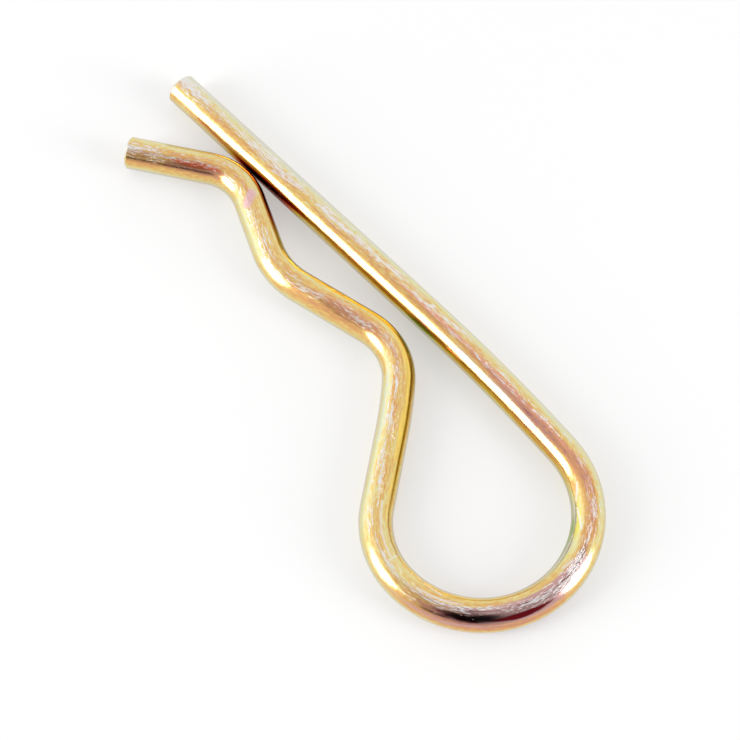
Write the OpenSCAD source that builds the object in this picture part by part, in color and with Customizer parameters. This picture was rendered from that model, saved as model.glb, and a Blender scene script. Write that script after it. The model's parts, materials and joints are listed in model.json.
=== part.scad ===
// Hitch R clip pin: one length of round spring wire, bent in one plane and cut flat
// at both ends.
//
// In use the straight leg goes through a hole drilled across a shaft, and the wavy
// leg springs over the outside of the shaft until the seat hugs it. The neck stops
// the clip from sliding on past the shaft, the nose stops it from backing off, and
// the flare guides the shaft in between the legs. The loop is the spring, and the
// eye that a finger or a lanyard pulls.
//
// Frame: the origin is the centre of that shaft, which is the point on the straight
// leg's centre line under the middle of the seat. +X points along the straight leg to
// its free end, +Y from the straight leg to the wavy one, and +Z is square to the
// plane of the wire and runs along the shaft.
//
// The centre line runs like a belt round a row of circles. Each bend is an arc of its
// own circle, and each straight is the common tangent of two neighbours, so every
// bend runs into the next piece with no kink whatever the sizes are.

/* [Wire] */
// Diameter of the round wire
wire_d = 4; // [3:0.1:4.6]
// Width of the broken edge round each cut end
end_break = 0.25; // [0.1:0.05:0.5]

/* [Straight leg] */
// From the middle of the seat to the leg's free end
leg_tip_l = 28.6; // [25:0.2:45]
// From the loop's centre to where the leg starts to curve into the loop
shoulder_l = 22.6; // [16:0.2:32]

/* [Loop] */
// From the middle of the seat back to the loop's centre
loop_l = 37.8; // [33:0.2:50]
// Inside radius, from the straight leg round to the far side of the loop
loop_in_r = 10.5; // [8.5:0.1:12]
// Inside radius from the far side of the loop on towards the neck
loop_out_in_r = 8.6; // [6:0.1:10.5]
// How far the loop's own circle stays above the straight leg's centre line
loop_lift = 1; // [0.4:0.1:3]

/* [Neck] */
// From the middle of the seat back to the lowest point of the neck
neck_l = 13.6; // [12:0.1:16]
// Clear gap between the neck and the straight leg
neck_gap = 2.1; // [1:0.1:3]
// Inside radius of the neck's bend
neck_in_r = 6.1; // [4:0.1:8]
// Inside radius of the slight curve that leads into the neck's bend
neck_ease_in_r = 59; // [30:1:90]
// Angle through which that slight curve turns
neck_ease_a = 6.4; // [2:0.2:10]

/* [Seat] */
// Clear height between the straight leg and the middle of the seat
seat_clear = 4.7; // [4:0.1:6]
// Inside radius of the seat, near the radius of the shaft that it hugs
seat_in_r = 7.7; // [5:0.1:9]

/* [Nose] */
// From the middle of the seat to the lowest point of the nose
nose_l = 13.6; // [12:0.1:16]
// Clear gap between the nose and the straight leg when nothing is gripped
nose_gap = 0.1; // [0.05:0.05:1.5]
// Inside radius of the nose's bend
nose_in_r = 5.1; // [3:0.1:7]

/* [Flare] */
// Angle between the flare and the straight leg
flare_a = 33.3; // [20:0.1:45]
// Length of the flare, from the nose's bend to its cut end
flare_l = 10.3; // [6:0.1:14]

/* [Hidden] */

wire_r = wire_d / 2;
// Facets round the wire, and the longest facet along a bend
wire_facets = 48;
facet_l = 1.6;

// The bends and the straights join as one solid with no two surfaces that coincide. A
// bend is thinner by skin, which is too little to see or feel. Its ends reach into the
// straights by lap, and the straights reach into it by lap, tapering as they go.
skin = 0.004;
lap = 0.1;
// Length of the straight between two bends that follow each other
collar_l = 0.3;

// Headings of the wire as it runs back along the straight leg, at the far side of the
// loop, where the loop's radius changes, and along the flare
leg_heading = 180;
loop_far_heading = 0;
flare_heading = flare_a;

// Radii of the centre line
loop_r = loop_in_r + wire_r;
loop_out_r = loop_out_in_r + wire_r;
neck_r = neck_in_r + wire_r;
neck_ease_r = neck_ease_in_r + wire_r;
seat_r = seat_in_r + wire_r;
nose_r = nose_in_r + wire_r;

// Centres of the bends. The tighter side of the loop shares its far point with the
// rest of the loop. The neck and the nose bulge down and the seat bulges up, each to
// its own clear height over the straight leg.
loop_c = [-loop_l, loop_lift + loop_r];
loop_out_c = loop_c + [0, loop_r - loop_out_r];
neck_c = [-neck_l, wire_d + neck_gap + neck_r];
seat_c = [0, wire_d + seat_clear - seat_r];
nose_c = [nose_l, wire_d + nose_gap + nose_r];

// The shoulder is the long arc that touches the straight leg's line where it starts
// and the loop's circle where it ends
shoulder_r = (shoulder_l ^ 2 + loop_c[1] ^ 2 - loop_r ^ 2) / (2 * (loop_c[1] - loop_r));
shoulder_c = [shoulder_l - loop_l, shoulder_r];
shoulder_a = asin(shoulder_l / (shoulder_r - loop_r));

// Unit vector at a heading, and the one a quarter turn to its left
function along(heading) = [cos(heading), sin(heading)];
function left_of(heading) = [-sin(heading), cos(heading)];

// Heading of the straight that leaves the circle at c1 and meets the one at c2. A
// circle has a positive radius where the wire goes round it to the left, and a
// negative one where it goes round to the right.
function tangent_heading(c1, r1, c2, r2) =
    atan2(c2[1] - c1[1], c2[0] - c1[0]) - asin((r2 - r1) / norm(c2 - c1));

// The slight curve ahead of the neck's bend widens the turn, as a larger bend would
neck_reach = neck_r + (neck_ease_r - neck_r) * (1 - cos(neck_ease_a));
into_loop = leg_heading - shoulder_a;
into_neck = tangent_heading(loop_out_c, -loop_out_r, neck_c, neck_reach);
eased = into_neck + neck_ease_a;
neck_ease_c = neck_c + (neck_ease_r - neck_r) * left_of(eased);
into_seat = tangent_heading(neck_c, neck_r, seat_c, -seat_r);
into_nose = tangent_heading(seat_c, -seat_r, nose_c, nose_r);

// The bends: centre, radius with its sign, and the headings at the start and the end
SHOULDER = [shoulder_c, -shoulder_r, leg_heading, into_loop];
LOOP = [loop_c, -loop_r, into_loop, loop_far_heading];
LOOP_OUT = [loop_out_c, -loop_out_r, loop_far_heading, into_neck];
NECK_EASE = [neck_ease_c, neck_ease_r, into_neck, eased];
NECK = [neck_c, neck_r, eased, into_seat];
SEAT = [seat_c, -seat_r, into_seat, into_nose];
NOSE = [nose_c, nose_r, into_nose, flare_heading];

// Points where the wire enters and leaves a bend
function bend_start(b) = b[0] - b[1] * left_of(b[2]);
function bend_end(b) = b[0] - b[1] * left_of(b[3]);

// A bend swept from its first heading to its last. It is set up at its own start,
// with the wire leaving along +X, and then put in place.
module bend(b) {
    r = abs(b[1]);
    side = sign(b[1]);
    over = side * lap / r * 180 / PI;
    sweep = b[3] - b[2] + 2 * over;
    steps = ceil(abs(sweep) * PI / 180 * r / facet_l);
    start = bend_start(b);
    translate([start[0], start[1], 0])
        rotate(b[2])
            translate([0, b[1], 0])
                rotate(-90 * side - over)
                    rotate_extrude(angle = sweep, $fn = ceil(steps * 360 / abs(sweep)))
                        translate([r, 0])
                            circle(r = wire_r - skin, $fn = wire_facets);
}

// A straight run of wire from p to q. A cut end has its edge broken.
module run(p, q, cut = false) {
    d = q - p;
    l = norm(d);
    end = cut ? [[wire_r, l - end_break], [wire_r - end_break, l], [0, l]]
        : [[wire_r, l], [wire_r - lap, l + lap], [0, l + lap]];
    translate([p[0], p[1], 0])
        rotate([0, 90, atan2(d[1], d[0])])
            rotate_extrude($fn = wire_facets)
                polygon(concat([[0, -lap], [wire_r - lap, -lap], [wire_r, 0]], end));
}

// The short straight where bend b runs on into the next bend
module collar(b) {
    half = collar_l / 2 * along(b[3]);
    run(bend_end(b) - half, bend_end(b) + half);
}

module wire_clip() {
    leg_end = [leg_tip_l, 0];
    flare_start = bend_end(NOSE);
    color([0.86, 0.72, 0.36]) {
        run(bend_start(SHOULDER), leg_end, cut = true);
        bend(SHOULDER);
        collar(SHOULDER);
        bend(LOOP);
        collar(LOOP);
        bend(LOOP_OUT);
        run(bend_end(LOOP_OUT), bend_start(NECK_EASE));
        bend(NECK_EASE);
        collar(NECK_EASE);
        bend(NECK);
        run(bend_end(NECK), bend_start(SEAT));
        bend(SEAT);
        run(bend_end(SEAT), bend_start(NOSE));
        bend(NOSE);
        run(flare_start, flare_start + flare_l * along(flare_heading), cut = true);
    }
}

wire_clip();
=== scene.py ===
"""Hitch R clip pin: one spring wire bent in one plane, dressed in yellow zinc plating.

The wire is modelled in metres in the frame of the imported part. The origin is the centre
of the shaft that the clip hugs, +X points to the straight leg's free end, +Y from the
straight leg to the wavy one, and +Z is square to the plane of the wire.
"""

import json
import logging
import math
from collections.abc import Callable, Iterable
from dataclasses import dataclass, field
from enum import Enum

import bpy
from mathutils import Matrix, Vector


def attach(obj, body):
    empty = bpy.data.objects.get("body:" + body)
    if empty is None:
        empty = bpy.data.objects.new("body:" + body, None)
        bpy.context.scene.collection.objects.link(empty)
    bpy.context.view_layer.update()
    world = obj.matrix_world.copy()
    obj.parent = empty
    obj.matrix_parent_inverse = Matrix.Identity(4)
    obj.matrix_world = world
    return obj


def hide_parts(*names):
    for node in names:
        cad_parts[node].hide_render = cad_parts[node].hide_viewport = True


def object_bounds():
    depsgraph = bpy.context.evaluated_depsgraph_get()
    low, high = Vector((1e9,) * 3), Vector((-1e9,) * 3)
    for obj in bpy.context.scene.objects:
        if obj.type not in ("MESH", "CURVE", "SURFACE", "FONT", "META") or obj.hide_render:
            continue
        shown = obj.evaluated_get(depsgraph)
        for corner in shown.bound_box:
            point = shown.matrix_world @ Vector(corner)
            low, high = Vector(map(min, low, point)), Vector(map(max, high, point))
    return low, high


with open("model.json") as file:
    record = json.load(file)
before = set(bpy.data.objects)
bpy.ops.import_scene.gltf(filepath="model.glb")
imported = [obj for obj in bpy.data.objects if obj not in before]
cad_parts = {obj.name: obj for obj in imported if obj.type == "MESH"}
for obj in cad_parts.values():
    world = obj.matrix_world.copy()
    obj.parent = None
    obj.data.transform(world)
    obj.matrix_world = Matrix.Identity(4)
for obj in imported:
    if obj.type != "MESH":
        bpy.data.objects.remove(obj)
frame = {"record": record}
CAD_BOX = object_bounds()

LOG = logging.getLogger("clip_pin")
MM = 0.001
X_AXIS, Y_AXIS, Z_AXIS = Vector((1, 0, 0)), Vector((0, 1, 0)), Vector((0, 0, 1))
PLACE = "wire_place"
MOUNTS = {mount["name"]: mount for mount in frame["record"]["mounts"]}
# The wire's radius in millimetres
WIRE_R = MOUNTS["straight_leg"]["dims"]["r_mm"]
# Share of a patch's or a stroke's half size that is at full strength
CORE = 0.3

Socket = bpy.types.NodeSocket
Level = float | tuple[float, ...] | Socket


def heading_vector(heading: float) -> Vector:
    """Unit vector in the plane of the wire at a heading in radians from +X."""
    return Vector((math.cos(heading), math.sin(heading), 0.0))


def left_of(heading: float) -> Vector:
    """Unit vector a quarter turn to the left of a heading."""
    return Vector((-math.sin(heading), math.cos(heading), 0.0))


def linear_light(share: int) -> float:
    """One channel from 0 to 255 as linear light."""
    c = share / 255
    return c / 12.92 if c <= 0.04045 else ((c + 0.055) / 1.055) ** 2.4


def tint(red: int, green: int, blue: int) -> tuple[float, float, float, float]:
    """A colour given as on a paint card, from 0 to 255, as linear light with full alpha.

    Args:
        red: Red share.
        green: Green share.
        blue: Blue share.

    Returns:
        The four channels that a shader socket takes.
    """
    return (linear_light(red), linear_light(green), linear_light(blue), 1.0)


class Turn(Enum):
    """Which way the wire turns as it runs on from the straight leg's free end."""

    LEFT = 1
    RIGHT = -1


@dataclass(frozen=True)
class Run:
    """A straight length of the wire's centre line."""

    start: Vector
    heading: float
    length: float

    def end(self) -> Vector:
        """Where the run stops."""
        return self.start + self.length * heading_vector(self.heading)

    def locate(self, point: Vector) -> tuple[float, float, float]:
        """Place of a point beside the run.

        Args:
            point: A point of the wire's surface, in metres.

        Returns:
            Distance from the centre line, length along it, and offset to its left.
        """
        away = point - self.start
        along = away.dot(heading_vector(self.heading))
        side = away.dot(left_of(self.heading))
        over = along - min(max(along, 0.0), self.length)
        return math.hypot(side, point.z, over), along, side


@dataclass(frozen=True)
class Bend:
    """A length of the centre line that follows a circle."""

    centre: Vector
    radius: float
    turn: Turn
    heading_in: float
    heading_out: float

    @property
    def sweep(self) -> float:
        """Angle of the bend in radians, positive to the left."""
        return self.heading_out - self.heading_in

    @property
    def length(self) -> float:
        """Length of the centre line in the bend."""
        return abs(self.sweep) * self.radius

    @property
    def start(self) -> Vector:
        """Where the wire enters the bend."""
        return self.centre - self.turn.value * self.radius * left_of(self.heading_in)

    def end(self) -> Vector:
        """Where the wire leaves the bend."""
        return self.centre - self.turn.value * self.radius * left_of(self.heading_out)

    def locate(self, point: Vector) -> tuple[float, float, float]:
        """Place of a point beside the bend.

        Args:
            point: A point of the wire's surface, in metres.

        Returns:
            Distance from the centre line, length along it, and offset to its left.
        """
        arm = point - self.centre
        arm.z = 0.0
        start_arm = self.start - self.centre
        turned = math.atan2(start_arm.cross(arm).z, start_arm.dot(arm)) * self.turn.value
        if turned < -math.pi / 8:
            turned += 2 * math.pi
        over = turned - min(max(turned, 0.0), abs(self.sweep))
        side = self.turn.value * (self.radius - arm.length)
        return (math.hypot(side, point.z, over * self.radius), turned * self.radius, side)


@dataclass(frozen=True)
class WireLine:
    """The whole centre line, from the straight leg's free end to the flare's cut end."""

    pieces: tuple[Run | Bend, ...]

    @property
    def length(self) -> float:
        """Developed length of the wire."""
        return sum(piece.length for piece in self.pieces)

    def locate(self, point: Vector) -> tuple[float, float, float]:
        """Where a surface point would be if the wire were pulled straight along X.

        Args:
            point: A point of the wire's surface, in metres.

        Returns:
            Length along the wire, offset to the left of the line, and height.
        """
        best, start = None, 0.0
        for piece in self.pieces:
            away, along, side = piece.locate(point)
            if best is None or away < best[0]:
                best = (away, start + along, side)
            start += piece.length
        return best[1], best[2], point.z


class Tree:
    """A node tree that is being wired up."""

    def __init__(self, tree: bpy.types.NodeTree) -> None:
        """Starts from an empty tree."""
        self.nodes, self.links = tree.nodes, tree.links
        self.nodes.clear()

    def add(self, kind: str, sockets: dict[str | int, Level] | None = None,
            **settings: object) -> bpy.types.Node:
        """Adds a node.

        Args:
            kind: Blender's name of the node type, without its ShaderNode start.
            sockets: Values or sockets for the node's inputs, by name or number.
            settings: Settings of the node itself.

        Returns:
            The new node.
        """
        known = kind if kind.startswith("NodeGroup") else "ShaderNode" + kind
        node = self.nodes.new(known)
        for name, value in settings.items():
            setattr(node, name, value)
        for key, value in (sockets or {}).items():
            if isinstance(value, bpy.types.NodeSocket):
                self.links.new(value, node.inputs[key])
            else:
                node.inputs[key].default_value = value
        return node

    def math(self, operation: str, a: Level, b: Level = 0.0) -> Socket:
        """One sum of two numbers."""
        return self.add("Math", {0: a, 1: b}, operation=operation).outputs[0]

    def vector(self, operation: str, a: Level, b: Level) -> Socket:
        """One sum of two vectors."""
        return self.add("VectorMath", {0: a, 1: b}, operation=operation).outputs[0]

    def dot(self, a: Level, b: Level) -> Socket:
        """How far one vector reaches along another."""
        return self.add("VectorMath", {0: a, 1: b}, operation="DOT_PRODUCT").outputs["Value"]

    def size(self, vector: Level) -> Socket:
        """Length of a vector."""
        return self.add("VectorMath", {0: vector}, operation="LENGTH").outputs["Value"]

    def step(self, value: Level, low: Level, high: Level, from_: float = 0.0,
             to: float = 1.0) -> Socket:
        """A soft step in a value.

        Args:
            value: What is measured.
            low: Where the step starts.
            high: Where the step is complete.
            from_: Result below the step.
            to: Result above the step.

        Returns:
            The stepped value.
        """
        node = self.add("MapRange", {0: value, 1: low, 2: high, 3: from_, 4: to},
                        interpolation_type="SMOOTHSTEP")
        return node.outputs[0]

    def mix(self, share: Level, a: Level, b: Level, blend: str = "MIX") -> Socket:
        """Two colours mixed, with share 0 giving the first."""
        node = self.add("Mix", {0: share, 6: a, 7: b}, data_type="RGBA", blend_type=blend)
        return node.outputs[2]

    def ramp(self, value: Level, stops: Iterable[tuple[float, tuple]]) -> Socket:
        """A value turned into a colour by a row of stops.

        Args:
            value: What is measured.
            stops: Places between 0 and 1, each with its colour.

        Returns:
            The colour.
        """
        node = self.add("ValToRGB", {0: value})
        row = list(stops)
        while len(node.color_ramp.elements) < len(row):
            node.color_ramp.elements.new(0.5)
        for element, (place, colour) in zip(node.color_ramp.elements, row):
            element.position, element.color = place, colour
        return node.outputs[0]

    def noise(self, vector: Level, scale: float, detail: float = 2.0,
              roughness: float = 0.5) -> Socket:
        """Cloudy noise between 0 and 1."""
        node = self.add("TexNoise", {"Vector": vector, "Scale": scale, "Detail": detail,
                                     "Roughness": roughness})
        return node.outputs[0]


def shader_group(name: str, takes: dict[str, tuple[str, float]], gives: dict[str, str],
                 wire: Callable[[Tree, bpy.types.Node], dict[str, Socket]]
                 ) -> bpy.types.NodeTree:
    """Makes a node group once.

    Args:
        name: Name of the group.
        takes: Type and default of each input.
        gives: Type of each output.
        wire: Wires the group, and returns a socket for each output.

    Returns:
        The group.
    """
    if name in bpy.data.node_groups:
        return bpy.data.node_groups[name]
    group = bpy.data.node_groups.new(name, "ShaderNodeTree")
    for socket, (kind, default) in takes.items():
        made = group.interface.new_socket(socket, in_out="INPUT", socket_type=kind)
        if kind == "NodeSocketFloat":
            made.default_value = default
    for socket, kind in gives.items():
        group.interface.new_socket(socket, in_out="OUTPUT", socket_type=kind)
    tree = Tree(group)
    source = tree.add("NodeGroupInput")
    tree.add("NodeGroupOutput", wire(tree, source))
    return group


def streak_group() -> bpy.types.NodeTree:
    """Marks that are drawn out along the wire.

    Returns:
        The group, which gives the noise between 0 and 1.
    """
    def wire(tree: Tree, source: bpy.types.Node) -> dict[str, Socket]:
        """Stretches noise along the straightened wire.

        Args:
            tree: The group's tree.
            source: The group's input node.

        Returns:
            A socket for each output.
        """
        size = tree.add("CombineXYZ", {0: source.outputs["Length"], 1: source.outputs["Width"],
                                       2: source.outputs["Width"]}).outputs[0]
        place = tree.vector("DIVIDE", source.outputs["Place"], size)
        shift = tree.add("CombineXYZ", {0: source.outputs["Seed"]}).outputs[0]
        place = tree.vector("ADD", place, shift)
        return {"Cloud": tree.noise(place, 1.0, detail=5.0, roughness=0.65)}
    floats = {"Length": 0.002, "Width": 0.0002, "Seed": 0.0}
    takes = {"Place": ("NodeSocketVector", 0.0)}
    takes.update({name: ("NodeSocketFloat", value) for name, value in floats.items()})
    return shader_group("drawn_out_marks", takes, {"Cloud": "NodeSocketFloat"}, wire)


@dataclass(frozen=True)
class Marks:
    """Marks drawn out along the wire: their length and width in metres, and their seed."""

    length: float
    width: float
    seed: float

    def cloud(self, tree: Tree, place: Socket) -> Socket:
        """Lays the marks on the wire.

        Args:
            tree: The material's tree.
            place: Place on the straightened wire.

        Returns:
            Noise between 0 and 1.
        """
        sockets = {"Place": place, "Length": self.length, "Width": self.width,
                   "Seed": self.seed}
        return tree.add("Group", sockets, node_tree=streak_group()).outputs["Cloud"]


def patch_group() -> bpy.types.NodeTree:
    """How much a patch adds at a place on the wire.

    Returns:
        The group.
    """
    def wire(tree: Tree, source: bpy.types.Node) -> dict[str, Socket]:
        """Measures how far a place is from the patch, in half sizes, and fades it out.

        Args:
            tree: The group's tree.
            source: The group's input node.

        Returns:
            A socket for each output.
        """
        given = source.outputs
        away = tree.add("CombineXYZ", {
            0: tree.math("DIVIDE", tree.math("SUBTRACT", given["Along"], given["At"]),
                         given["Half Length"]),
            1: tree.math("DIVIDE", tree.math("SUBTRACT", given["Round"], given["Facing"]),
                         given["Half Angle"])}).outputs[0]
        share = tree.step(tree.size(away), CORE, 1.0, 1.0, 0.0)
        return {"Amount": tree.math("MULTIPLY", share, given["Extra"])}
    names = ("Along", "Round", "At", "Facing", "Half Length", "Half Angle", "Extra")
    return shader_group("wire_patch", {name: ("NodeSocketFloat", 0.0) for name in names},
                        {"Amount": "NodeSocketFloat"}, wire)


@dataclass(frozen=True)
class Patch:
    """A patch of the wire where something is more, or less, than it is elsewhere.

    Its numbers are, in order: where its middle is along the wire, which way it faces, half its
    length, half its angle round the wire, and what it adds. Lengths are in millimetres, and
    angles in degrees from the flat side, positive to the left.
    """

    at: float
    facing: float
    half_l: float
    half_a: float
    extra: float

    def add_to(self, tree: Tree, level: Level, along: Socket, around: Socket) -> Socket:
        """Adds the patch to a level.

        Args:
            tree: The material's tree.
            level: The level so far.
            along: Distance along the wire in millimetres.
            around: Angle round the wire from its flat side, in degrees, positive to the left.

        Returns:
            The level with the patch.
        """
        sockets = {"Along": along, "Round": around, "At": self.at, "Facing": self.facing,
                   "Half Length": self.half_l, "Half Angle": self.half_a, "Extra": self.extra}
        node = tree.add("Group", sockets, node_tree=patch_group())
        return tree.math("ADD", level, node.outputs["Amount"])


@dataclass(frozen=True)
class Cast:
    """A colour that the film takes on in places."""

    colour: tuple[float, float, float, float]
    patches: tuple[Patch, ...]
    streaking: float = 0.5
    edge: tuple[float, float] = (0.30, 0.75)

    def over(self, tree: Tree, under: Socket, wisps: Socket, along: Socket,
             around: Socket) -> Socket:
        """Lays the cast over a colour, with wispy edges.

        Args:
            tree: The material's tree.
            under: The colour so far.
            wisps: Drawn-out noise about 0 that frays the cast's edges.
            along: Distance along the wire in millimetres.
            around: Angle round the wire from its flat side, in degrees, positive to the left.

        Returns:
            The colour with the cast.
        """
        share: Level = wisps
        for patch in self.patches:
            share = patch.add_to(tree, share, along, around)
        level = tree.math("ADD", tree.math("MULTIPLY", wisps, self.streaking), 1.0)
        streaked = tree.mix(1.0, self.colour, level, "MULTIPLY")
        return tree.mix(tree.step(share, *self.edge), under, streaked)


def stroke_group(rag: float = 0.16, rags_per_mm: float = 7.0) -> bpy.types.NodeTree:
    """How much of a straight scratch there is at a place on the wire.

    Args:
        rag: How far the scratch's edges wander, in millimetres.
        rags_per_mm: How closely they do.

    Returns:
        The group.
    """
    def wire(tree: Tree, source: bpy.types.Node) -> dict[str, Socket]:
        """Measures how far a place is from the line of the scratch, which has ragged edges.

        Args:
            tree: The group's tree.
            source: The group's input node.

        Returns:
            A socket for each output.
        """
        given = source.outputs
        place = tree.add("CombineXYZ", {0: given["Along"], 1: given["Across"]}).outputs[0]
        run = tree.vector("SUBTRACT", given["End"], given["Start"])
        gone = tree.vector("SUBTRACT", place, given["Start"])
        share = tree.add("Math", {0: tree.dot(gone, run), 1: tree.dot(run, run)},
                         operation="DIVIDE", use_clamp=True).outputs[0]
        nearest = tree.add("VectorMath", {0: run, "Scale": share}, operation="SCALE").outputs[0]
        away = tree.size(tree.vector("SUBTRACT", gone, nearest))
        ragged = tree.math("MULTIPLY", tree.noise(place, rags_per_mm), rag)
        away = tree.math("ADD", away, tree.math("SUBTRACT", ragged, rag / 2))
        inner = tree.math("MULTIPLY", given["Half Width"], CORE)
        return {"Amount": tree.step(away, inner, given["Half Width"], 1.0, 0.0)}
    takes = {name: ("NodeSocketFloat", 0.0) for name in ("Along", "Across", "Half Width")}
    takes.update({name: ("NodeSocketVector", 0.0) for name in ("Start", "End")})
    return shader_group("wire_stroke", takes, {"Amount": "NodeSocketFloat"}, wire)


@dataclass(frozen=True)
class Stroke:
    """A straight scratch or smear, from one place on the wire to another."""

    start: tuple[float, float]
    end: tuple[float, float]
    half_w: float

    def amount(self, tree: Tree, along: Socket, around: Socket) -> Socket:
        """How much of the stroke there is.

        Args:
            tree: The material's tree.
            along: Distance along the wire in millimetres.
            around: Angle round the wire from its flat side, in degrees, positive to the left.

        Returns:
            A share between 0 and 1.
        """
        arc = math.radians(WIRE_R)
        sockets = {"Along": along, "Across": tree.math("MULTIPLY", around, arc),
                   "Start": (self.start[0], self.start[1] * arc, 0.0),
                   "End": (self.end[0], self.end[1] * arc, 0.0), "Half Width": self.half_w}
        return tree.add("Group", sockets, node_tree=stroke_group()).outputs["Amount"]


@dataclass(frozen=True)
class YellowZinc:
    """Yellow chromate over bright zinc, iridescent and rubbed."""

    name: str = "yellow_zinc"
    roughness: float = 0.08
    # The film's colours are laid out about one fixed direction of the clip: the one from
    # which the main camera sees it. They stay put on the wire in every other view.
    film_axis: tuple[float, float, float] = (-0.304, 0.294, 0.906)
    # The film's refractive index, and the lengths of light's path in it that its colours span
    film_index: float = 1.5
    film_span: tuple[float, float] = (0.70, 1.45)
    film: tuple[tuple[float, tuple], ...] = (
        (0.74, tint(214, 212, 198)),
        (0.79, tint(219, 222, 186)),
        (0.84, tint(227, 219, 160)),
        (0.89, tint(230, 206, 138)),
        (0.94, tint(227, 187, 114)),
        (0.99, tint(221, 169, 108)),
        (1.04, tint(215, 156, 112)),
        (1.09, tint(206, 148, 120)),
        (1.14, tint(194, 138, 128)),
        (1.20, tint(160, 88, 86)),
        (1.27, tint(112, 24, 34)),
        (1.40, tint(26, 4, 6)),
    )
    # Next to no colour shows where the film is seen edge on
    left_rim: tuple = tint(210, 198, 183)
    right_rim: tuple = tint(196, 184, 162)
    rim_edge: tuple[float, float] = (0.15, 0.50)
    # Depth of the film before flanks, clouds and patches are added
    base_depth: float = 0.52
    # The film is thicker on the flanks, which start at these sines of the angle round the wire
    left_flank: float = 0.10
    left_edge: tuple[float, float] = (0.6, 0.95)
    right_flank: float = 0.15
    right_edge: tuple[float, float] = (0.45, 0.85)
    # How much each size of cloud adds to the film's depth
    clouds: tuple[tuple[Marks, float], ...] = (
        (Marks(length=0.030, width=0.006, seed=7.0), 0.20),
        (Marks(length=0.006, width=0.0006, seed=19.0), 0.30),
        (Marks(length=0.0008, width=0.0002, seed=31.0), 0.42),
    )
    # Where the film is thicker, or thinner, than elsewhere
    patches: tuple[Patch, ...] = (
        Patch(18, 62, 38, 44, -0.07),
        Patch(44.5, -80, 5, 26, -0.12),
        Patch(63, -12, 15, 26, 0.13),
        Patch(75, 10, 8, 34, 0.12),
        Patch(80, -62, 9, 42, -0.20),
        Patch(86, 8, 7, 28, 0.14),
        Patch(96, -30, 16, 30, 0.10),
        Patch(95, 55, 14, 50, 0.12),
        Patch(96, 32, 9, 22, 0.16),
        Patch(129, 38, 9, 22, -0.08),
        Patch(142, 10, 8, 40, 0.08),
        Patch(159, 40, 10, 40, -0.08),
        Patch(172, 38, 6, 26, 0.10),
    )
    # Painted shade beside the crevice of the nose, and painted golden reflection of the facing
    # wire along the inner flanks, laid as patches
    crevice_shade_pools: tuple[Patch, ...] = (
        Patch(17.4, -92, 8.5, 50, 0.95),
        Patch(15, -66, 9, 13, 0.16),
        Patch(46, -70, 44, 15, 0.36),
        Patch(124, -51, 15, 13, 0.34),
        Patch(133, -66, 5, 14, 0.45),
        Patch(144, -52, 13, 13, 0.24),
        Patch(158, -61, 10, 14, 0.34),
        Patch(163, -80, 7, 36, 0.80),
    )
    # Ramp of the painted shade, multiplied over the film: white where there is none, then gold,
    # orange-red and dark brown deepest in the crevice
    painted_shade_ramp: tuple[tuple[float, tuple], ...] = (
        (0.0, tint(255, 255, 255)),
        (0.36, tint(226, 216, 92)),
        (0.62, tint(222, 112, 20)),
        (0.80, tint(184, 64, 10)),
        (1.0, tint(92, 38, 8)),
    )
    # Drawn-out wisps that fray the edges of the casts
    wisps: Marks = Marks(length=0.0035, width=0.00028, seed=53.0)
    wispiness: float = 1.5
    # Colours that the film takes on in places, each laid over the one before
    casts: tuple[Cast, ...] = (
        Cast(tint(198, 158, 154), (
            Patch(89.5, 20, 13, 54, 0.95),
            Patch(99, 6, 9, 15, 0.5),
            Patch(101, 62, 11, 26, 0.5),
            Patch(62, -14, 14, 14, 0.35))),
        Cast(tint(242, 208, 106), (
            Patch(136, -36, 30, 23, 0.72),
            Patch(99, -44, 18, 24, 0.55))),
        Cast(tint(154, 110, 66), (
            Patch(142, 30, 10, 20, 0.42),)),
        Cast(tint(206, 152, 140), (
            Patch(134, 2, 7, 14, 0.45),)),
        Cast(tint(222, 158, 138), (
            Patch(54, -2, 26, 19, 0.58),
            Patch(18, 2, 9, 13, 0.46))),
        Cast(tint(198, 170, 150), (
            Patch(58, -30, 16, 13, 0.6),)),
        Cast(tint(104, 72, 76), (
            Patch(92, 12, 15, 26, 0.42),
            Patch(80, 6, 7, 18, 0.36))),
        Cast(tint(118, 24, 32), (
            Patch(91.5, 37, 5.5, 15, 0.9),)),
        Cast(tint(216, 112, 76), (
            Patch(172, 26, 5.5, 17, 0.85),)),
        Cast(tint(216, 206, 96), (
            Patch(79, -38, 9, 15, 0.6),)),
        Cast(tint(142, 168, 88), (
            Patch(45, -74, 4.5, 16, 0.8),
            Patch(80.5, -64, 6, 24, 0.5),
            Patch(134.5, -56, 4, 13, 0.45))),
    )
    # Bending has dulled the outer half of the wavy leg and of the loop
    dull: tuple[Patch, ...] = (
        Patch(128, 52, 62, 58, 0.05),
        Patch(85, 24, 12, 40, 0.07),
        Patch(131, 44, 8, 40, 0.07),
        Patch(151, 44, 8, 40, 0.04),
    )
    scratch_share: float = 0.6
    scratches: tuple[Stroke, ...] = (
        Stroke(start=(17.6, -16), end=(22.2, 4), half_w=0.18),
        Stroke(start=(72.8, -29), end=(75.1, -48), half_w=0.22),
        Stroke(start=(76.1, -46), end=(79.0, -21), half_w=0.20),
        Stroke(start=(83.2, -8), end=(84.6, -19), half_w=0.28),
        Stroke(start=(98.6, -11), end=(103.6, -5), half_w=0.22),
        Stroke(start=(100.8, -27), end=(104.4, -43), half_w=0.18),
        Stroke(start=(108.2, 2), end=(108.5, -46), half_w=0.16),
        Stroke(start=(108.7, -14), end=(115.9, -17), half_w=0.18),
    )
    # A smear of paler film by the nose
    smear: Stroke = Stroke(start=(162.5, 20), end=(163.7, -10), half_w=0.85)
    smeared: tuple = tint(228, 182, 198)
    smear_share: float = 0.7
    rubbed: tuple = tint(234, 230, 228)
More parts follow.
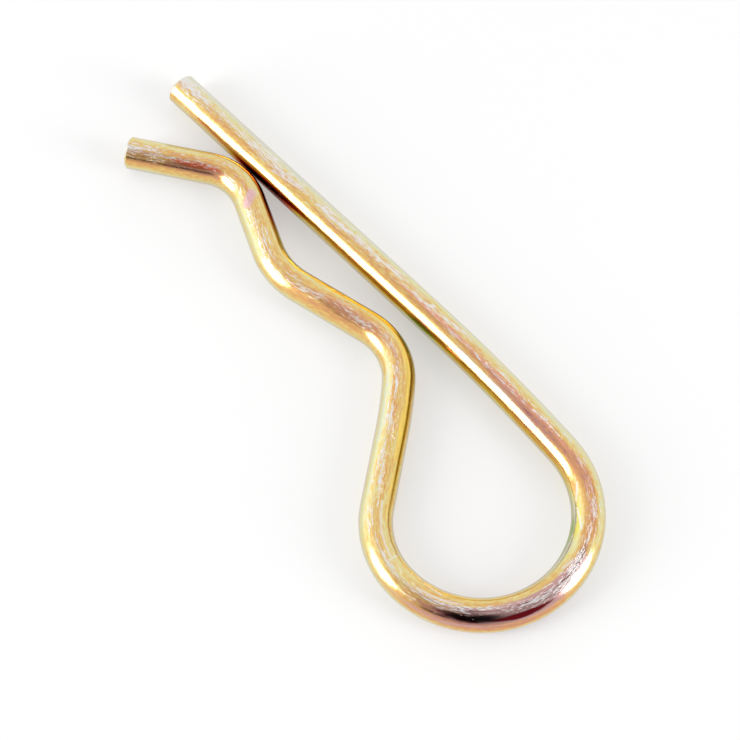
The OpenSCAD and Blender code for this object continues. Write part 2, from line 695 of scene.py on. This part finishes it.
    # Rubs are clusters of fine lines, thickest at this angle round the wire and gone beyond
    rub_middle: float = 12.0
    rub_reach: tuple[float, float] = (8.0, 55.0)
    rub_reach_share: float = 0.20
    rub_lines: Marks = Marks(length=0.0009, width=0.0001, seed=23.0)
    rub_clusters: Marks = Marks(length=0.005, width=0.0005, seed=11.0)
    rub_cluster_share: float = 0.7
    rub_edge: tuple[float, float] = (1.105, 1.14)
    # Where more, or less, of the film is rubbed off than elsewhere
    rub_patches: tuple[Patch, ...] = (
        Patch(26, 14, 34, 26, 0.08),
        Patch(86, 14, 8, 18, 0.06),
        Patch(68, -15, 10, 20, -0.12),
        Patch(96, 36, 9, 22, -0.16),
        Patch(99, -3, 10, 10, 0.08),
        Patch(146, 40, 8, 24, -0.06),
        Patch(121, 6, 7, 14, 0.06),
        Patch(180, 25, 6, 60, 0.08),
        Patch(2, 0, 5, 70, 0.10),
    )
    # Drawing the wire left a fine grain, which stands up, and the rubs lie in a little
    grain: Marks = Marks(length=0.0015, width=0.00012, seed=40.0)
    grain_rough: float = 0.08
    grain_height: float = 0.6
    rub_rough: float = 0.08
    rub_height: float = -0.35
    relief: float = 0.000018

    def material(self) -> bpy.types.Material:
        """Builds the finish.

        Returns:
            The material for the wire's skin.
        """
        made = bpy.data.materials.new(self.name)
        made.use_nodes = True
        tree = Tree(made.node_tree)
        place = tree.add("Attribute", attribute_name=PLACE).outputs["Vector"]
        parts = tree.add("SeparateXYZ", {0: place}).outputs
        along = tree.math("DIVIDE", parts[0], MM)
        around = tree.math("DEGREES", tree.math("ARCTAN2", parts[1],
                                                tree.math("ABSOLUTE", parts[2])))
        film = self.film_colour(tree, place, along, around)
        rubs = self.rub_mask(tree, place, along, around)
        for scratch in self.scratches:
            mark = tree.math("MULTIPLY", scratch.amount(tree, along, around),
                             self.scratch_share)
            rubs = tree.math("MAXIMUM", rubs, mark)
        colour = tree.mix(rubs, film, self.rubbed)
        smear = tree.math("MULTIPLY", self.smear.amount(tree, along, around),
                          self.smear_share)
        colour = tree.mix(smear, colour, self.smeared)
        grain = self.grain.cloud(tree, place)
        rough = tree.math("ADD", tree.math("MULTIPLY", rubs, self.rub_rough),
                          tree.math("MULTIPLY", grain, self.grain_rough))
        rough = tree.math("ADD", rough, self.roughness - self.grain_rough / 2)
        for patch in self.dull:
            rough = patch.add_to(tree, rough, along, around)
        height = tree.math("ADD", tree.math("MULTIPLY", grain, self.grain_height),
                           tree.math("MULTIPLY", rubs, self.rub_height))
        bump = tree.add("Bump", {"Height": height, "Distance": self.relief, "Strength": 1.0})
        shader = tree.add("BsdfPrincipled", {"Base Color": colour, "Roughness": rough,
                                             "Normal": bump.outputs[0], "Metallic": 1.0})
        tree.add("OutputMaterial", {0: shader.outputs[0]})
        return made

    def film_colour(self, tree: Tree, place: Socket, along: Socket, around: Socket) -> Socket:
        """Colour of the chromate film, from the length of light's path in it, with painted
        shade and painted reflection multiplied over it.

        Args:
            tree: The material's tree.
            place: Place on the straightened wire.
            along: Distance along the wire in millimetres.
            around: Angle round the wire in degrees.

        Returns:
            The colour.
        """
        normal = tree.add("TexCoord").outputs["Normal"]
        facing = tree.math("ABSOLUTE", tree.dot(normal, self.film_axis))
        slant = tree.math("SUBTRACT", 1.0, tree.math("POWER", facing, 2.0))
        inside = tree.math("SQRT", tree.math(
            "SUBTRACT", 1.0, tree.math("DIVIDE", slant, self.film_index ** 2)))
        side = tree.math("SINE", tree.math("RADIANS", around))
        right = tree.step(tree.math("MULTIPLY", side, -1.0), *self.right_edge)
        parts = [(tree.step(side, *self.left_edge), self.left_flank),
                 (right, self.right_flank)]
        parts += [(marks.cloud(tree, place), share) for marks, share in self.clouds]
        depth: Level = self.base_depth
        for level, share in parts:
            depth = tree.math("ADD", depth, tree.math("MULTIPLY", level, share))
        for patch in self.patches:
            depth = patch.add_to(tree, depth, along, around)
        path = tree.math("MULTIPLY", inside, depth)
        low, high = self.film_span
        share = tree.math("DIVIDE", tree.math("SUBTRACT", path, low), high - low)
        stops = [((at - low) / (high - low), colour) for at, colour in self.film]
        rim = tree.mix(right, self.left_rim, self.right_rim)
        film = tree.mix(tree.step(facing, *self.rim_edge, 1.0, 0.0),
                        tree.ramp(share, stops), rim)
        wisps = tree.math("SUBTRACT", self.wisps.cloud(tree, place), 0.5)
        wisps = tree.math("MULTIPLY", wisps, self.wispiness)
        for cast in self.casts:
            film = cast.over(tree, film, wisps, along, around)
        # Painted shade in the crevice of the nose and painted golden reflection along the inner
        # flanks, multiplied over the film
        painted_shade = 0.0
        for patch in self.crevice_shade_pools:
            painted_shade = patch.add_to(tree, painted_shade, along, around)
        return tree.mix(1.0, film, tree.ramp(painted_shade, self.painted_shade_ramp), "MULTIPLY")

    def rub_mask(self, tree: Tree, place: Socket, along: Socket, around: Socket) -> Socket:
        """Where rubbing has taken the film off: streaks on the two flat sides.

        Args:
            tree: The material's tree.
            place: Place on the straightened wire.
            along: Distance along the wire in millimetres.
            around: Angle round the wire in degrees.

        Returns:
            The mask.
        """
        off_middle = tree.math("ABSOLUTE", tree.math("SUBTRACT", around, self.rub_middle))
        near = tree.step(off_middle, *self.rub_reach, 1.0, 0.0)
        clusters = tree.math("MULTIPLY", self.rub_clusters.cloud(tree, place),
                             self.rub_cluster_share)
        worn = tree.math("ADD", self.rub_lines.cloud(tree, place), clusters)
        worn = tree.math("ADD", worn, tree.math("MULTIPLY", near, self.rub_reach_share))
        for patch in self.rub_patches:
            worn = patch.add_to(tree, worn, along, around)
        return tree.step(worn, *self.rub_edge)


@dataclass(frozen=True)
class ShearedEnd:
    """The cut ends: sheared steel with a thin, dull plating."""

    name: str = "sheared_end"
    colour: tuple = tint(196, 190, 172)
    stain: tuple = tint(206, 178, 110)
    roughness: float = 0.34
    # Tears run across the face: their fineness, how far they are drawn out, and their depth
    tears_per_m: float = 4200.0
    tear_stretch: tuple[float, float, float] = (1.0, 1.0, 0.35)
    tear_rough: float = 0.3
    relief: float = 0.00006
    stains_per_m: float = 900.0
    stain_edge: tuple[float, float] = (0.45, 0.65)

    def material(self) -> bpy.types.Material:
        """Builds the finish.

        Returns:
            The material for the two cut faces.
        """
        made = bpy.data.materials.new(self.name)
        made.use_nodes = True
        tree = Tree(made.node_tree)
        place = tree.add("TexCoord").outputs["Object"]
        tears = tree.noise(tree.vector("MULTIPLY", place, self.tear_stretch),
                           self.tears_per_m, detail=4.0, roughness=0.6)
        stain = tree.step(tree.noise(place, self.stains_per_m), *self.stain_edge)
        colour = tree.mix(stain, self.colour, self.stain)
        rough = tree.math("ADD", tree.math("MULTIPLY", tears, self.tear_rough),
                          self.roughness - self.tear_rough / 2)
        bump = tree.add("Bump", {"Height": tears, "Distance": self.relief, "Strength": 0.8})
        shader = tree.add("BsdfPrincipled", {"Base Color": colour, "Roughness": rough,
                                             "Normal": bump.outputs[0], "Metallic": 1.0})
        tree.add("OutputMaterial", {0: shader.outputs[0]})
        return made


@dataclass
class WireClip:
    """The clip: straight leg, shoulder, loop, neck, seat, nose and flare in one wire.

    The wire's radius, the leg, the loop's circle and the seat's circle are read from the
    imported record. The other sizes are in millimetres, as in the part's source.
    """

    loop_out_in_r: float = 8.6
    neck_l: float = 13.6
    neck_gap: float = 2.1
    neck_in_r: float = 6.1
    neck_ease_in_r: float = 59.0
    neck_ease_a: float = 6.4
    seat_clear: float = 4.7
    nose_l: float = 13.6
    nose_gap: float = 0.1
    nose_in_r: float = 5.1
    flare_a: float = 33.3
    flare_l: float = 10.3
    end_break: float = 0.25
    facets_round: int = 72
    facet_l: float = 0.7
    # Edges sharper than this, in degrees, stay sharp
    crease_a: float = 32.0
    # Width and depth of the low rim on each cut face, and of the torn ring inside it
    cut_rim: tuple[float, float] = (0.35, -0.03)
    cut_tear: tuple[float, float] = (0.5, -0.04)
    piece: bpy.types.Object | None = field(default=None, init=False)

    def __post_init__(self) -> None:
        """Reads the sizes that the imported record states."""
        leg, eye, seat = (MOUNTS[n] for n in ("straight_leg", "loop_eye", "shaft_seat"))
        self.wire_r = WIRE_R * MM
        self.tip = Vector(leg["pos_m"])
        self.leg_l = leg["dims"]["length_mm"] * MM
        self.loop_centre = Vector(eye["pos_m"])
        self.loop_r = eye["dims"]["r_mm"] * MM + self.wire_r
        self.seat_r = seat["dims"]["r_mm"] * MM + self.wire_r
        self.line = self.centre_line()

    def centre_line(self) -> WireLine:
        """Lays the centre line like a belt round the bends' circles.

        Returns:
            The line, from the straight leg's free end to the flare's cut end.
        """
        r = self.wire_r
        out_r = self.loop_out_in_r * MM + r
        neck_r = self.neck_in_r * MM + r
        ease_r = self.neck_ease_in_r * MM + r
        nose_r = self.nose_in_r * MM + r
        out_c = self.loop_centre + Y_AXIS * (self.loop_r - out_r)
        neck_c = Vector((-self.neck_l * MM, 2 * r + self.neck_gap * MM + neck_r, 0))
        seat_c = Vector((0, 2 * r + self.seat_clear * MM - self.seat_r, 0))
        nose_c = Vector((self.nose_l * MM, 2 * r + self.nose_gap * MM + nose_r, 0))

        leg = Run(self.tip, math.pi, self.leg_l)
        reach, rise = leg.end().x - self.loop_centre.x, self.loop_centre.y
        shoulder_r = (reach ** 2 + rise ** 2 - self.loop_r ** 2) / (2 * (rise - self.loop_r))
        into_loop = math.pi - math.asin(reach / (shoulder_r - self.loop_r))
        shoulder_c = leg.end() + Y_AXIS * shoulder_r

        ease_a = math.radians(self.neck_ease_a)
        neck_reach = neck_r + (ease_r - neck_r) * (1 - math.cos(ease_a))
        into_neck = self.tangent(out_c, -out_r, neck_c, neck_reach)
        eased = into_neck + ease_a
        ease_c = neck_c + (ease_r - neck_r) * left_of(eased)
        into_seat = self.tangent(neck_c, neck_r, seat_c, -self.seat_r)
        into_nose = self.tangent(seat_c, -self.seat_r, nose_c, nose_r)
        flare_a = math.radians(self.flare_a)

        shoulder = Bend(shoulder_c, shoulder_r, Turn.RIGHT, math.pi, into_loop)
        loop = Bend(self.loop_centre, self.loop_r, Turn.RIGHT, into_loop, 0.0)
        loop_out = Bend(out_c, out_r, Turn.RIGHT, 0.0, into_neck)
        ease = Bend(ease_c, ease_r, Turn.LEFT, into_neck, eased)
        neck = Bend(neck_c, neck_r, Turn.LEFT, eased, into_seat)
        seat = Bend(seat_c, self.seat_r, Turn.RIGHT, into_seat, into_nose)
        nose = Bend(nose_c, nose_r, Turn.LEFT, into_nose, flare_a)
        return WireLine((
            leg, shoulder, loop, loop_out, self.between(loop_out, ease), ease, neck,
            self.between(neck, seat), seat, self.between(seat, nose), nose,
            Run(nose.end(), flare_a, self.flare_l * MM)))

    @staticmethod
    def tangent(c1: Vector, r1: float, c2: Vector, r2: float) -> float:
        """Heading of the straight that leaves one circle and meets the next.

        Args:
            c1: Centre of the first circle.
            r1: Its radius, positive where the wire goes round to the left.
            c2: Centre of the second circle.
            r2: Its radius, with its sign.

        Returns:
            The heading in radians.
        """
        gap = c2 - c1
        return math.atan2(gap.y, gap.x) - math.asin((r2 - r1) / gap.length)

    @staticmethod
    def between(first: Bend, second: Bend) -> Run:
        """The straight that joins two bends."""
        gap = second.start - first.end()
        return Run(first.end(), first.heading_out, gap.length)

    def build(self) -> None:
        """Draws the wire out of its first cut end, run by run and bend by bend."""
        bpy.ops.object.select_all(action="DESELECT")
        edge = self.end_break * MM
        bpy.ops.mesh.primitive_circle_add(
            vertices=self.facets_round, radius=self.wire_r - edge, location=self.tip,
            rotation=(0.0, math.pi / 2, 0.0))
        self.piece = bpy.context.object
        self.piece.name = self.piece.data.name = "zinc_plated_wire"
        bpy.ops.object.transform_apply(location=True, rotation=True, scale=True)
        bpy.ops.object.mode_set(mode="EDIT")
        bpy.ops.mesh.select_all(action="SELECT")
        grown = self.wire_r / (self.wire_r - edge)
        last = self.line.pieces[-1]
        for piece in self.line.pieces:
            if isinstance(piece, Bend):
                self.sweep_bend(piece)
                continue
            start, length = piece.start, piece.length
            heading = heading_vector(piece.heading)
            if piece is self.line.pieces[0]:
                start, length = start + heading * edge, length - edge
                self.draw_out(heading * edge, start, grown)
            if piece is last:
                length -= edge
            steps = math.ceil(length / (2 * self.facet_l * MM))
            for _ in range(steps):
                self.draw_out(heading * (length / steps))
            if piece is last:
                self.draw_out(heading * edge, last.end(), 1 / grown)
        bpy.ops.mesh.select_all(action="SELECT")
        bpy.ops.mesh.fill_holes(sides=0)
        bpy.ops.mesh.select_all(action="SELECT")
        bpy.ops.mesh.remove_doubles(threshold=1e-7)
        bpy.ops.mesh.normals_make_consistent(inside=False)
        bpy.ops.object.mode_set(mode="OBJECT")
        self.shape_cut_ends()
        self.mark_places()
        bpy.ops.object.shade_smooth_by_angle(angle=math.radians(self.crease_a))

    def draw_out(self, by: Vector, centre: Vector | None = None, grow: float = 1.0) -> None:
        """Extrudes the open ring, and grows or shrinks the new one.

        Args:
            by: How far the new ring moves.
            centre: Centre of the new ring, where its size changes.
            grow: The new ring's size against the old one's.
        """
        bpy.ops.mesh.extrude_region_move(TRANSFORM_OT_translate={"value": by})
        if centre is not None:
            bpy.ops.transform.resize(value=(grow, grow, grow), center_override=centre)

    def sweep_bend(self, bend: Bend) -> None:
        """Spins the open ring round a bend's circle. Spin turns clockwise about its axis.

        Args:
            bend: The bend, whose start the ring has reached.
        """
        steps = max(2, math.ceil(bend.length / (self.facet_l * MM)))
        bpy.ops.mesh.spin(steps=steps, angle=abs(bend.sweep), center=bend.centre,
                          axis=-Z_AXIS * bend.turn.value)

    def cut_ends(self) -> tuple[tuple[Vector, Vector], ...]:
        """Centre of each cut end, and the way that it faces."""
        flare = self.line.pieces[-1]
        return (self.tip, X_AXIS), (flare.end(), heading_vector(flare.heading))

    def shape_cut_ends(self) -> None:
        """Gives each cut face the low rim and the torn middle that shearing leaves."""
        for centre, outward in self.cut_ends():
            bpy.ops.object.mode_set(mode="EDIT")
            bpy.ops.mesh.select_all(action="DESELECT")
            bpy.ops.object.mode_set(mode="OBJECT")
            for face in self.piece.data.polygons:
                away = (face.center - centre).length
                face.select = away < 0.2 * MM and abs(face.normal.dot(outward)) > 0.9
            bpy.ops.object.mode_set(mode="EDIT")
            bpy.ops.mesh.select_mode(type="FACE")
            for width, depth in (self.cut_rim, self.cut_tear):
                bpy.ops.mesh.inset(thickness=width * MM, depth=depth * MM)
            bpy.ops.mesh.poke()
            bpy.ops.object.mode_set(mode="OBJECT")

    def mark_places(self) -> None:
        """Stores where each point would be on the wire pulled straight."""
        mesh = self.piece.data
        places = mesh.attributes.new(PLACE, "FLOAT_VECTOR", "POINT")
        flat: list[float] = []
        for vertex in mesh.vertices:
            flat.extend(self.line.locate(vertex.co))
        places.data.foreach_set("vector", flat)

    def dress(self) -> None:
        """Gives the skin its plating, the cut faces theirs, and ties the wire down."""
        mesh = self.piece.data
        mesh.materials.clear()
        mesh.materials.append(YellowZinc().material())
        mesh.materials.append(ShearedEnd().material())
        ends = self.cut_ends()
        for face in mesh.polygons:
            near = any(abs((face.center - c).dot(n)) < 0.12 * MM
                       and (face.center - c).length < self.wire_r
                       and face.normal.dot(n) > 0.75 for c, n in ends)
            face.material_index = int(near)
        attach(self.piece, "root")
        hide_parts("wire_clip")


def direction(azimuth: float, elevation: float) -> Vector:
    """Unit vector at an azimuth from +X and an elevation, in degrees."""
    a, e = math.radians(azimuth), math.radians(elevation)
    return Vector((math.cos(a) * math.cos(e), math.sin(a) * math.cos(e), math.sin(e)))


@dataclass(frozen=True)
class Softbox:
    """A soft oval light: its direction from the clip in degrees, its size in metres."""

    name: str
    azimuth: float
    elevation: float
    width: float
    height: float
    power: float = 6.5
    far: float = 0.8

    def hang(self) -> None:
        """Hangs the softbox so that it faces the clip."""
        toward = direction(self.azimuth, self.elevation)
        light = bpy.data.lights.new(self.name, "AREA")
        light.shape, light.size, light.size_y = "ELLIPSE", self.width, self.height
        light.energy = self.power * math.pi * self.width * self.height * math.pi / 4
        box = bpy.data.objects.new(self.name, light)
        box.location = toward * self.far
        box.rotation_mode = "QUATERNION"
        box.rotation_quaternion = (-toward).to_track_quat("-Z", "Y")
        bpy.context.scene.collection.objects.link(box)


@dataclass(frozen=True)
class DarkOval:
    """An unlit oval in the surroundings.

    Its direction is in degrees, and its half sizes are sines of the angle from its middle.
    The edge is where the light starts to come back and where it is whole, with 1 on the oval.
    """

    azimuth: float
    elevation: float
    half_w: float
    half_h: float
    edge: tuple[float, float]
    level: float

    def dim(self, tree: Tree, light: Socket, look: Socket) -> Socket:
        """Takes the oval's share out of the light.

        Args:
            tree: The world's tree.
            light: The light so far.
            look: The direction looked in.

        Returns:
            The light with the oval.
        """
        across = tree.dot(look, direction(self.azimuth + 90.0, 0.0))
        upward = tree.dot(look, direction(self.azimuth, self.elevation + 90.0))
        away = tree.size(tree.add("CombineXYZ", {
            0: tree.math("DIVIDE", across, self.half_w),
            1: tree.math("DIVIDE", upward, self.half_h)}).outputs[0])
        return tree.math("MULTIPLY", light, tree.step(away, *self.edge, self.level, 1.0))


@dataclass(frozen=True)
class Falloff:
    """Light that changes with the angle from a direction, all in degrees."""

    azimuth: float
    elevation: float
    far: float
    near: float
    far_level: float
    near_level: float

    def light(self, tree: Tree, look: Socket) -> Socket:
        """How bright it is in the direction looked in.

        Args:
            tree: The world's tree.
            look: The direction looked in.

        Returns:
            The light.
        """
        toward = tree.dot(look, direction(self.azimuth, self.elevation))
        return tree.step(toward, math.cos(math.radians(self.far)),
                         math.cos(math.radians(self.near)), self.far_level, self.near_level)


@dataclass
class Studio:
    """Pale floor, soft light and the camera."""

    # Where the camera looks, in millimetres from the middle of the clip
    aim_offset: tuple[float, float, float] = (-4.22, -2.96, 0.0)
    distance: float = 272.0
    azimuth: float = -134.017
    elevation: float = 65.0
    lens: float = 111.84
    sensor: float = 36.0
    floor_size: float = 3.0
    paper: tuple[float, float, float, float] = (0.50, 0.50, 0.50, 1.0)
    paper_glow: float = 0.40
    softboxes: tuple[Softbox, ...] = (
        Softbox("softbox_right", azimuth=-153.0, elevation=18.0, width=0.36, height=0.60),
        Softbox("softbox_left", azimuth=63.5, elevation=21.0, width=0.40, height=0.66),
    )
    # Bright walls go over into a greyer ceiling, with an extra glow on one side
    walls: Falloff = Falloff(azimuth=138.0, elevation=50.0, far=62, near=24,
                             far_level=0.98, near_level=0.60)
    glow: Falloff = Falloff(azimuth=40.0, elevation=24.0, far=52, near=10,
                            far_level=0.0, near_level=0.35)
    # The room's unlit corner, and the foot of a stand
    unlit: tuple[DarkOval, ...] = (
        DarkOval(azimuth=132.0, elevation=46.0, half_w=0.29, half_h=0.50,
                 edge=(0.70, 1.20), level=0.012),
        DarkOval(azimuth=106.0, elevation=25.0, half_w=0.20, half_h=0.11,
                 edge=(0.60, 1.10), level=0.04),
    )

    def build(self) -> None:
        """Sets up the floor, the surroundings, the lights and the camera."""
        self.lay_floor()
        self.set_world()
        for softbox in self.softboxes:
            softbox.hang()
        self.place_camera()
        scene = bpy.context.scene
        scene.view_settings.view_transform = "Standard"
        scene.view_settings.look = "None"

    def lay_floor(self) -> None:
        """A wide, even sheet of pale paper under the wire, which glows a little."""
        bpy.ops.object.select_all(action="DESELECT")
        low, _ = CAD_BOX
        bpy.ops.mesh.primitive_plane_add(size=self.floor_size, location=(0, 0, low.z))
        floor = bpy.context.object
        floor.name = "floor"
        bpy.ops.object.transform_apply(location=True, rotation=True, scale=True)
        paper = bpy.data.materials.new("white_paper")
        paper.use_nodes = True
        tree = Tree(paper.node_tree)
        shader = tree.add("BsdfPrincipled", {
            "Base Color": self.paper, "Roughness": 0.7, "Specular IOR Level": 0.2,
            "Emission Color": (1, 1, 1, 1), "Emission Strength": self.paper_glow})
        tree.add("OutputMaterial", {0: shader.outputs[0]})
        floor.data.materials.append(paper)

    def set_world(self) -> None:
        """Surrounds the clip with what its wire reflects."""
        world = bpy.data.worlds.new("studio")
        bpy.context.scene.world = world
        world.use_nodes = True
        tree = Tree(world.node_tree)
        look = tree.add("TexCoord").outputs["Generated"]
        light = self.walls.light(tree, look)
        for oval in self.unlit:
            light = oval.dim(tree, light, look)
        light = tree.math("ADD", light, self.glow.light(tree, look))
        back = tree.add("Background", {"Color": (1, 1, 1, 1), "Strength": light})
        tree.add("OutputWorld", {0: back.outputs[0]})

    def place_camera(self) -> None:
        """Puts the camera above the loop's end, looking down the clip."""
        low, high = CAD_BOX
        aim = (low + high) / 2 + Vector(self.aim_offset) * MM
        a, e = math.radians(self.azimuth), math.radians(self.elevation)
        back = Vector((math.sin(a) * math.cos(e), -math.cos(a) * math.cos(e), math.sin(e)))
        data = bpy.data.cameras.new("camera")
        data.lens, data.sensor_width = self.lens, self.sensor
        data.clip_start, data.clip_end = 0.01, 20.0
        camera = bpy.data.objects.new("camera", data)
        camera.location = aim + back * self.distance * MM
        camera.rotation_mode = "QUATERNION"
        camera.rotation_quaternion = (-back).to_track_quat("-Z", "Y")
        bpy.context.scene.collection.objects.link(camera)
        bpy.context.scene.camera = camera


def main() -> None:
    """Builds the clip and the studio."""
    logging.basicConfig(level=logging.INFO, format="%(name)s: %(message)s")
    clip = WireClip()
    clip.build()
    clip.dress()
    LOG.info("%s: %d faces, %.1f mm of wire", clip.piece.name,
             len(clip.piece.data.polygons), clip.line.length / MM)
    Studio().build()
    LOG.info("studio is set")
    bpy.context.view_layer.update()


if __name__ == "__main__":
    main()
